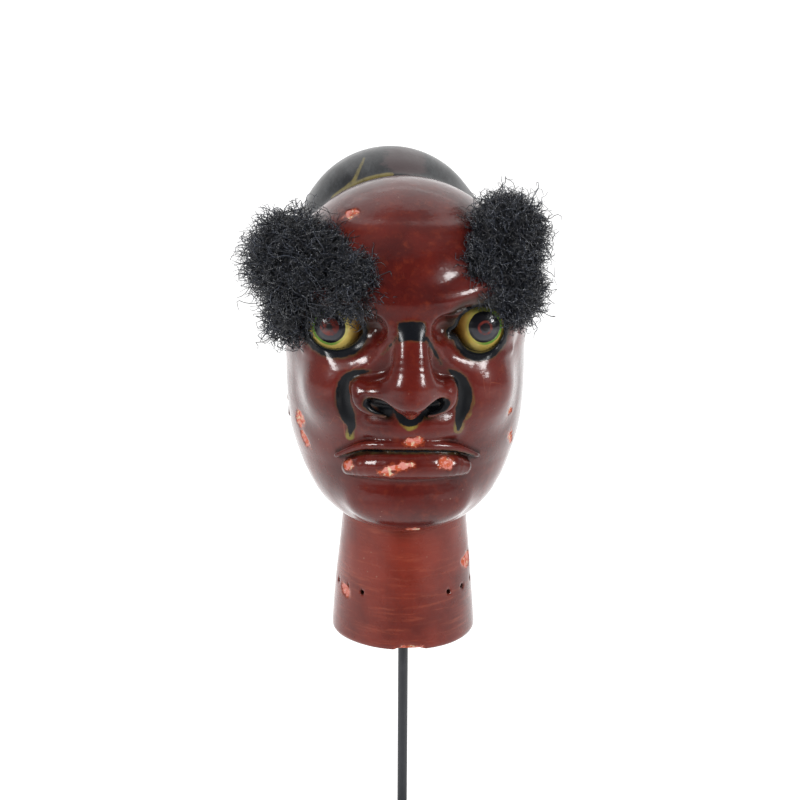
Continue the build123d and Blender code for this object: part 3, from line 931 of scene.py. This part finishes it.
def eye_paint(name, side, iris, iris_radius, pupil_radius, pupil_shift, pupil_ring):
    """Brush-painted eye: yellow white, black iris, red-brown pupil. The iris's grey lower part is a
    painted reflection of the floor, and the white is darkened below the upper lid and towards the
    ball's rim, painted shade.
    """
    n = Nodes(name)
    eye = EYE["left" if side < 0 else "right"]
    x, y, z = n.split(n.place())
    x = n.times(n.minus(x, eye.x), 1 / MM)
    h = n.times(n.minus(z, eye.z), 1 / MM)
    front = n.ramp(n.minus(y, eye.y), 0.0005, -0.001)
    waver = n.jitter(0.5, 330.0, 3.0)

    def reach(cx, ch):
        return n.plus(n.length(n.minus(x, cx), n.minus(h, ch)), waver)

    outward = n.times(x, side)
    white = n.mix(n.ramp(n.noise(160.0, 4.0), 0.3, 0.7), (0.62, 0.430, 0.085), (0.74, 0.580, 0.180))
    white = n.mix(n.ramp(outward, -2.6, -6.6, 0.0, 0.9), white, (0.42, 0.150, 0.022))
    # The top of the white is darkened: painted shade under the upper lid.
    white = n.mix(n.ramp(h, 3.4, 6.4, 0.0, 0.75), white, (0.10, 0.16, 0.035))
    dist = reach(*iris)
    green = n.band(dist, iris_radius + 0.30, 0.60, 0.15)
    arc = n.ramp(n.plus(outward, n.times(h, -0.35)), -1.5, 3.0, 0.25, 0.95)
    colour = n.mix(n.times(green, arc), white, (0.12, 0.30, 0.05))
    # The iris's lower part is a lighter grey: a painted reflection of the pale floor.
    low = n.ramp(n.plus(n.minus(h, iris[1]), waver), 0.2, -1.2)
    disc = n.mix(low, (0.005, 0.005, 0.008), (0.034, 0.034, 0.043))
    disc = n.mix(n.band(dist, iris_radius - 0.35, 0.55, 0.30), disc, (0.006, 0.006, 0.008))
    pupil = reach(iris[0] + pupil_shift[0], iris[1] + pupil_shift[1])
    if pupil_ring:
        mark = n.band(pupil, pupil_radius, 0.50, 0.20)
    else:
        mark = n.ramp(pupil, pupil_radius + 0.2, pupil_radius - 0.2)
    patchy = n.ramp(n.noise(700.0, 4.0), 0.38, 0.60, 0.25, 1.0)
    disc = n.mix(n.times(mark, patchy), disc, (0.150, 0.024, 0.018))
    disc = n.mix(n.ramp(pupil, 1.15, 0.75), disc, (0.010, 0.008, 0.010))
    colour = n.mix(n.ramp(dist, iris_radius + 0.12, iris_radius - 0.12), colour, disc)
    # The ball darkens towards its rim: painted shade in the gap under the lids.
    colour = n.mix(n.ramp(n.length(x, h), 8.1, 9.3, 0.0, 0.92), colour, (0.012, 0.012, 0.010))
    grain = n.noise(220.0, 4.0, 0.6, n.stretched((1.0, 1.0, 0.12)))
    colour = n.mix(front, n.mix(grain, (0.30, 0.18, 0.09), (0.46, 0.30, 0.16)), colour)
    normal = n.bump(n.noise(420.0, 4.0), 0.35, 0.0002)
    gloss = dict(coat=1.0, coat_roughness=0.05, coat_ior=1.40, specular=0.25)
    return n.surface(colour, 0.28, normal, **gloss)


def bare_wood(name, light, dark, grain):
    n = Nodes(name)
    rings = n.noise(160.0, 5.0, 0.65, n.stretched(grain), distort=0.6)
    fibre = n.noise(900.0, 3.0, 0.6, n.stretched(grain))
    colour = n.mix(n.ramp(rings, 0.35, 0.65), dark, light)
    colour = n.mix(n.ramp(fibre, 0.55, 0.8, 0.0, 0.5), colour, tuple(c * 0.6 for c in dark))
    return n.surface(colour, n.ramp(rings, 0.3, 0.7, 0.5, 0.7), n.bump(fibre, 0.4, 0.0003))


def brass():
    n = Nodes("dulled_brass")
    tarnish = n.noise(380.0, 5.0, 0.6)
    colour = n.mix(n.ramp(tarnish, 0.4, 0.7), (0.58, 0.40, 0.15), (0.22, 0.14, 0.06))
    roughness = n.ramp(tarnish, 0.3, 0.7, 0.25, 0.5)
    return n.surface(colour, roughness, n.bump(tarnish, 0.2, 0.0001), metallic=1.0)


def black_steel():
    n = Nodes("black_painted_steel")
    peel = n.noise(2600.0, 2.0)
    dust = n.noise(70.0, 6.0, 0.7)
    colour = n.mix(n.ramp(dust, 0.45, 0.80), (0.014, 0.016, 0.021), (0.040, 0.043, 0.050))
    return n.surface(colour, n.ramp(dust, 0.3, 0.7, 0.34, 0.50), n.bump(peel, 0.35, 0.0001))


def felt(name, colour):
    n = Nodes(name)
    fluff = n.noise(1900.0, 5.0, 0.75)
    lighter = tuple(min(1.0, c * 2.4) for c in colour)
    mixed = n.mix(n.ramp(fluff, 0.35, 0.75), colour, lighter)
    return n.surface(mixed, 0.95, n.bump(fluff, 0.8, 0.0005), sheen=0.3, specular=0.2)


def hair():
    n = Nodes("black_hair")
    tone = n.attribute("tone")
    # Strands differ in tone at random, and the lightest blue-grey ones stand in for glints: painted
    # highlights.
    colour = n.mix(tone, (0.0022, 0.0030, 0.0054), (0.058, 0.066, 0.088))
    colour = n.mix(n.ramp(n.noise(900.0, 2.0), 0.60, 0.8, 0.0, 0.4), colour, (0.035, 0.038, 0.048))
    return n.surface(colour, n.ramp(tone, 0.0, 1.0, 0.38, 0.20), specular=0.8)


# ------------------------ carved pieces
def carved(name, field, low, high, step, node, slot, material, **paints):
    """Sculpts a part of the head that stands for a CAD node, with its paint fields stored on it."""
    obj, p, normal = sculpt(name, field, low, high, step)
    attach(obj, "crease", cupping(field, p, normal))
    for key, paint in paints.items():
        attach(obj, key, paint(p))
    obj.data.materials.append(material)
    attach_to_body(obj, "head")
    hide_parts(node)
    return obj


SCALP_STROKES = [
    ((-15.6, 0.0, 67.2), (-12.4, 0.0, 73.4), 0.5),
    ((-21.5, 0.0, 62.0), (-15.6, 0.0, 67.6), 0.6),
]


def scalp_brush(p):
    """Signed distance from the olive brush strokes at the dome's front edge."""
    f = np.full(len(p), NO_MARK)
    flat = p * np.array([1.0, 0.0, 1.0])
    for start, end, width in SCALP_STROKES:
        f = np.minimum(f, rod(flat, start, end, width, 0.4 * width))
    border = ball(p, *FOREHEAD) - 0.9
    wanted = np.clip(np.abs(p[:, 0] + 13.0) - 9.0, 0.0, 9.0)
    f = np.minimum(f, np.abs(border) - 0.5 + wanted)
    return np.where(p[:, 1] < 14, f, NO_MARK)


def scalp_worn(p):
    return egg(p, (0.0, 8.5, 73.5), (6.5, 11, 6))


def nape_red(p):
    """Signed distance from the red lacquer below the painted hairline."""
    hairline = 6.0 + 22.0 * np.clip(1.0 - p[:, 1] / 30.0, 0.0, 1.0) ** 1.5
    return p[:, 2] - hairline


BRUSHED_ROUND = (0.25, 0.25, 2.6)
FINE = 0.62
carved(
    "carved_face",
    face_field,
    (-41, -55, -36),
    (41, 1.5, 72),
    FINE,
    "face_shell",
    "red_lacquer",
    lacquer("face_lacquer", True),
    black=black_paint,
    haze=lid_haze,
    gilt=gilt,
    chip=lambda p: chip_depth(p, FACE_CHIPS),
)
carved(
    "carved_back",
    back_field,
    (-40, -1.5, -36),
    (40, 52, 80),
    1.4 * FINE,
    "back_shell",
    "black_lacquer",
    black_scalp(),
    brush=scalp_brush,
    worn=scalp_worn,
    red=nape_red,
)
carved(
    "turned_neck",
    neck_field,
    (-24, -24, NECK_BASE_H - 1.5),
    (24, 24, NECK_TOP_H + 1.5),
    1.1 * FINE,
    "neck",
    "red_lacquer",
    lacquer("neck_lacquer", False, BRUSHED_ROUND, coat=0.75, coat_roughness=0.16, reds=NECK_REDS),
    chip=lambda p: chip_depth(p, NECK_CHIPS),
)


# ------------------------ ears
EAR_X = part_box("ear_right")[1].x / MM
EAR_Y = box_centre("ear_right").y / MM
EAR_H = box_centre("ear_right").z / MM - HEAD_Z
# The right ear, about the outermost point of its middle
EAR_SHELL = ((-4.4, 0.0, 0.0), (4.2, 6.0, 10.2))
EAR_RIM = [
    (-1.6, -4.2, 2.0, 0.8),
    (-1.2, -2.6, 7.6, 1.1),
    (-1.2, 2.4, 8.8, 1.2),
    (-1.1, 5.0, 4.0, 1.2),
    (-1.2, 4.6, -2.5, 1.1),
    (-1.4, 1.2, -7.6, 1.3),
]
EAR_BOWL = ((0.4, 0.5, 1.2), (2.2, 3.0, 5.8))
EAR_FLAP = ((-1.2, -3.0, -1.2), (1.2, 1.5, 2.0))


def ear_field(side):
    def field(p):
        q = p * np.array([side, 1.0, 1.0]) - np.array([EAR_X, EAR_Y, EAR_H])
        f = smin(egg(q, *EAR_SHELL), tube(q, EAR_RIM), 1.0)
        f = smax(f, -egg(q, *EAR_BOWL), 0.7)
        f = smin(f, egg(q, *EAR_FLAP), 0.6)
        return np.maximum(f, 0.05 - skull(p))

    return field


for side, word in ((-1, "left"), (1, "right")):
    near, far = sorted((side * (EAR_X - 9.0), side * (EAR_X + 1.0)))
    carved(
        f"carved_ear_{word}",
        ear_field(side),
        (near, EAR_Y - 8.5, EAR_H - 12.5),
        (far, EAR_Y + 8.5, EAR_H + 12.5),
        0.45,
        f"ear_{word}",
        "red_lacquer",
        lacquer(f"ear_lacquer_{word}", False, chips=False),
    )


# ------------------------ hair brows
HAIR_SEGMENTS = 8
HAIR_SIDES = 3
HAIR_RADIUS = 0.135
HAIR_LID_GAP = 1.7
HAIR_MATERIAL = hair()
STRANDS = 3850
# Each lump of a tuft is centre, radii, lean and its share of the strands
TUFTS = {
    "left": [
        ((-28.8, -27.0, 45.4), (18.2, 14.0, 13.2), 16, 0.56),
        ((-33.0, -24.5, 31.0), (9.0, 9.0, 8.6), 20, 0.14),
        ((-15.2, -38.4, 41.6), (8.4, 7.0, 8.8), 0, 0.19),
        ((-33.6, -24.0, 54.0), (9.5, 9.0, 8.5), 0, 0.11),
    ],
    "right": [
        ((27.6, -26.0, 53.0), (11.2, 14.0, 13.6), 0, 0.50),
        ((29.6, -26.4, 38.4), (9.2, 10.5, 10.0), 25, 0.26),
        ((21.0, -34.2, 45.6), (6.0, 5.4, 9.6), 0, 0.24),
    ],
}


def lump_turn(lean):
    c, s = math.cos(math.radians(lean)), math.sin(math.radians(lean))
    return np.array([[c, 0, s], [0, 1, 0], [-s, 0, c]])


def strand_ends(rng, lumps, outward, count):
    """Where each strand comes out of the mass, and its tip."""
    starts, tips = [], []
    for centre, radii, lean, share in lumps:
        number = int(count * share)
        way = rng.normal(size=(number * 4, 3))
        way /= np.linalg.norm(way, axis=1, keepdims=True)
        way = way[way @ outward > -0.45][:number]
        squarish = (np.abs(way) ** 2.7).sum(axis=1, keepdims=True) ** (-1 / 2.7)
        reach = rng.uniform(0.84, 1.10, (number, 1)) * squarish
        stray = rng.random((number, 1)) < 0.05
        reach = np.where(stray, reach * rng.uniform(1.02, 1.18, (number, 1)), reach)
        leaning = way + rng.normal(size=(number, 3)) * 0.30
        leaning /= np.linalg.norm(leaning, axis=1, keepdims=True)
        turn = lump_turn(lean)
        size = np.array(radii)
        tips.append(np.array(centre) + (leaning * reach * size) @ turn.T)
        depth = rng.uniform(0.64, 0.92, (number, 1))
        starts.append(np.array(centre) + (way * depth * size) @ turn.T)
    return np.concatenate(starts), np.concatenate(tips)


def clear_of_wood(p, side, outward, gap):
    """Moves points out of the forehead, the brow and the lids."""
    solid = np.minimum(skull(p), eyeball(p, side, HAIR_LID_GAP))
    return p + outward * np.clip(gap - solid, 0.0, 9.0)[:, None]


def tuft(word, side, seed):
    """Short crimped strands that stand out of a lumpy mass of hair."""
    rng = np.random.default_rng(seed)
    outward = np.array([side * 0.62, -0.74, 0.26])
    outward /= np.linalg.norm(outward)
    start, tip = strand_ends(rng, TUFTS[word], outward, STRANDS)
    count = len(start)
    along = np.linspace(0.0, 1.0, HAIR_SEGMENTS + 1)
    chord = tip - start
    length = np.linalg.norm(chord, axis=1, keepdims=True)
    drift = np.cross(chord / length, rng.normal(size=(count, 3)))
    drift *= rng.uniform(2.0, 7.5, (count, 1))
    curl_a = rng.normal(size=(count, 3))
    curl_b = np.cross(curl_a, chord / length)
    phase = rng.uniform(0, 2 * math.pi, (count, 1))
    turns = rng.uniform(0.9, 2.3, (count, 1))
    size = rng.uniform(0.35, 0.85, (count, 1))
    rows = []
    for t in along:
        angle = phase + 2 * math.pi * turns * t
        curl = (curl_a * np.cos(angle) + curl_b * np.sin(angle)) * size * (0.3 + 0.7 * t)
        rows.append(start + chord * t + drift * (t - t**2 * 0.65) + curl)
    path = np.stack(rows, axis=1)
    path = clear_of_wood(path.reshape(-1, 3), side, outward, 0.3).reshape(path.shape)
    step = np.gradient(path, axis=1)
    step /= np.maximum(np.linalg.norm(step, axis=2, keepdims=True), 1e-6)
    side_way = np.cross(step, rng.normal(size=(count, 1, 3)))
    side_way /= np.maximum(np.linalg.norm(side_way, axis=2, keepdims=True), 1e-6)
    up_way = np.cross(step, side_way)
    taper = HAIR_RADIUS * (1.0 - 0.55 * along**3)
    rings = []
    for k in range(HAIR_SIDES):
        a = 2 * math.pi * k / HAIR_SIDES
        rings.append(path + (side_way * math.cos(a) + up_way * math.sin(a)) * taper[None, :, None])
    verts = np.stack(rings, axis=2).reshape(-1, 3)
    ring_start = np.arange(count)[:, None] * (HAIR_SEGMENTS + 1) * HAIR_SIDES
    quads = []
    for seg in range(HAIR_SEGMENTS):
        for k in range(HAIR_SIDES):
            a = seg * HAIR_SIDES + k
            b = seg * HAIR_SIDES + (k + 1) % HAIR_SIDES
            quads.append(ring_start + np.array([a, b, b + HAIR_SIDES, a + HAIR_SIDES]))
    end = HAIR_SEGMENTS * HAIR_SIDES
    caps = [ring_start + np.array([2, 1, 0]), ring_start + end + np.array([0, 1, 2])]
    obj = mesh_object(f"hair_brow_{word}", verts, np.concatenate(quads), np.concatenate(caps))
    # A random tone for each strand; the lightest strands are painted glints.
    attach(obj, "tone", np.repeat(rng.random(count) ** 2.2, (HAIR_SEGMENTS + 1) * HAIR_SIDES))
    return obj


def core_field(word, side):
    """The dense dark middle of a tuft, as far as the wood it is sewn to."""

    def field(p):
        f = None
        for centre, radii, lean, _ in TUFTS[word]:
            g = egg(p, centre, tuple(0.70 * r for r in radii), -lean)
            f = g if f is None else smin(f, g, 3.0)
        lumps = np.sin(1.1 * p[:, 0]) * np.sin(1.3 * p[:, 1] + 1.0) * np.sin(1.2 * p[:, 2])
        f = f + 0.8 * lumps
        solid = np.minimum(skull(p), tube(p, BROW_RIDGE) - 0.2)
        solid = np.minimum(solid, eyeball(p, side, HAIR_LID_GAP))
        return smax(f, 0.25 - solid, 0.5)

    return field


for word, side, seed in (("left", -1, 11), ("right", 1, 23)):
    corners = [(np.array(c) - np.array(r), np.array(c) + np.array(r)) for c, r, _, _ in TUFTS[word]]
    low = np.min([a for a, _ in corners], axis=0)
    high = np.max([b for _, b in corners], axis=0)
    core, _, _ = sculpt(f"hair_core_{word}", core_field(word, side), low, high, 0.8)
    attach(core, "tone", np.zeros(len(core.data.vertices)))
    for piece in (core, tuft(word, side, seed)):
        piece.data.materials.append(HAIR_MATERIAL)
        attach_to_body(piece, "head")
        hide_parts(f"brow_tuft_{word}")


# ------------------------ finishes on the CAD pieces
FINISHES = [
    (black_steel(), ["base_plate", "display_rod"]),
    (felt("foot_felt", (0.012, 0.016, 0.014)), ["felt_pad"]),
    (felt("brow_felt", (0.008, 0.008, 0.009)), ["brow_pad_left", "brow_pad_right"]),
    (
        bare_wood("wood_upright", (0.50, 0.32, 0.17), (0.30, 0.17, 0.08), (1.0, 1.0, 0.10)),
        ["mount_plug", "finger_sleeve", "finger_lever"],
    ),
    (
        bare_wood("wood_crosswise", (0.44, 0.28, 0.15), (0.26, 0.15, 0.07), (0.10, 1.0, 1.0)),
        ["eye_bridge_upper", "eye_bridge_lower", "tie_bar", "lever_bridge"],
    ),
    (
        bare_wood("wood_lengthwise", (0.48, 0.31, 0.17), (0.28, 0.16, 0.08), (1.0, 0.10, 1.0)),
        ["head_dowels", "eye_stem_left", "eye_stem_right"],
    ),
    (brass(), ["eye_pins", "tie_pins", "drive_pin", "lever_pin", "centring_spring"]),
    (
        eye_paint("painted_eye_left", -1, (-2.0, 0.5), 4.4, 2.6, (-0.1, 0.4), False),
        ["eye_left"],
    ),
    (
        eye_paint("painted_eye_right", 1, (0.7, 0.6), 4.5, 1.75, (0.3, -0.1), True),
        ["eye_right"],
    ),
]
for material, nodes in FINISHES:
    for node in nodes:
        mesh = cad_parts[node].data
        mesh.materials.clear()
        mesh.materials.append(material)
        mesh.polygons.foreach_set("material_index", [0] * len(mesh.polygons))


# ------------------------ stage, light and camera
TARGET = Vector((-0.0014, 0.0, HEAD_Z * MM))
CAMERA_DISTANCE = 0.450
CAMERA_ELEVATION = math.radians(14.0)
CAMERA_AZIMUTH = math.radians(-2.0)
CAMERA_ROLL = math.radians(0.3)
FOCAL_MM = 65.25
SENSOR_MM = 36.0


def place_camera():
    camera = bpy.data.cameras.new("camera")
    camera.lens = FOCAL_MM
    camera.sensor_width = SENSOR_MM
    camera.clip_start = 0.01
    obj = bpy.data.objects.new("camera", camera)
    away = Vector(
        (
            math.sin(CAMERA_AZIMUTH) * math.cos(CAMERA_ELEVATION),
            -math.cos(CAMERA_AZIMUTH) * math.cos(CAMERA_ELEVATION),
            math.sin(CAMERA_ELEVATION),
        )
    )
    aim = (-away).to_track_quat("-Z", "Y").to_matrix().to_4x4()
    place = Matrix.Translation(TARGET + away * CAMERA_DISTANCE)
    obj.matrix_world = place @ aim @ Matrix.Rotation(CAMERA_ROLL, 4, "Z")
    bpy.context.scene.collection.objects.link(obj)
    bpy.context.scene.camera = obj


HEAD_MIDDLE = Vector((0.0, 0.0, HEAD_Z * MM + 0.02))


def softbox(name, place, width, height, power):
    light = bpy.data.lights.new(name, "AREA")
    light.shape = "RECTANGLE"
    light.size = width
    light.size_y = height
    light.energy = power
    obj = bpy.data.objects.new(name, light)
    obj.location = place
    obj.rotation_euler = (HEAD_MIDDLE - Vector(place)).to_track_quat("-Z", "Y").to_euler()
    bpy.context.scene.collection.objects.link(obj)


def white_room():
    """A pale sweep of paper under and behind the stand that glows: painted light, brightest behind
    it and to its sides, with a painted shade on the floor in front of it.
    """
    width, front, back, rise, bend = 3.0, -1.6, 0.7, 1.6, 0.5
    turn = np.linspace(0.0, math.pi / 2, 16)
    profile = [(front, 0.0)]
    profile += [(back + bend * math.sin(a), bend * (1 - math.cos(a))) for a in turn]
    profile.append((back + bend, rise))
    verts = [(x, y, z) for y, z in profile for x in (-width, width)]
    faces = [(2 * i, 2 * i + 1, 2 * i + 3, 2 * i + 2) for i in range(len(profile) - 1)]
    mesh = bpy.data.meshes.new("paper_sweep")
    mesh.from_pydata(verts, [], faces)
    mesh.update()
    mesh.polygons.foreach_set("use_smooth", [True] * len(faces))
    sweep = bpy.data.objects.new("paper_sweep", mesh)
    bpy.context.scene.collection.objects.link(sweep)
    n = Nodes("white_paper")
    grain = n.noise(300.0, 3.0)
    colour = n.mix(grain, (0.36, 0.36, 0.36), (0.38, 0.38, 0.38))
    x, y, _ = n.split(n.place())
    # The paper glows as painted light, brightest behind and beside the stand and dim in front of
    # it, a painted shade on the floor there.
    behind, beside = n.ramp(y, -0.50, 0.06), n.band(x, 0.0, 0.05, 0.70)
    glow = n.ramp(n.math("MAXIMUM", behind, beside), 0.0, 1.0, 0.04, 0.90)
    shader = n.surface(colour, 0.9, n.bump(grain, 0.05, 0.0005)).node_tree.nodes["Principled BSDF"]
    n.put(shader.inputs["Emission Strength"], glow)
    shader.inputs["Emission Color"].default_value = (1.0, 1.0, 1.0, 1.0)
    mesh.materials.append(n.material)
    # White walls at the sides and back, and an open, darker front
    world = bpy.data.worlds.new("white_room")
    world.use_nodes = True
    n.tree = world.node_tree
    background = world.node_tree.nodes["Background"]
    x, y, z = n.split(n.add("ShaderNodeTexCoord").outputs["Generated"])
    behind, beside = n.ramp(y, 0.1, 0.3), n.band(x, 0.0, 0.82, 0.93)
    above = n.ramp(z, 0.72, 0.82)
    walls = n.math("MAXIMUM", n.math("MAXIMUM", beside, behind), above)
    strength = n.ramp(walls, 0.0, 1.0, 0.06, 0.42)
    seen = n.math("MAXIMUM", strength, n.add("ShaderNodeLightPath").outputs["Is Camera Ray"])
    n.put(background.inputs["Strength"], seen)
    background.inputs["Color"].default_value = (1.0, 1.0, 1.0, 1.0)
    bpy.context.scene.world = world


place_camera()
white_room()
bpy.context.scene.view_settings.view_transform = "Standard"
for word, side in (("left", -1), ("right", 1)):
    softbox(f"softbox_{word}", (side * 0.62, -0.62, HEAD_Z * MM + 0.36), 0.20, 0.30, 5.6)
softbox("softbox_top", (0.0, 0.35, HEAD_Z * MM + 0.75), 0.9, 0.5, 1.3)

bpy.context.view_layer.update()
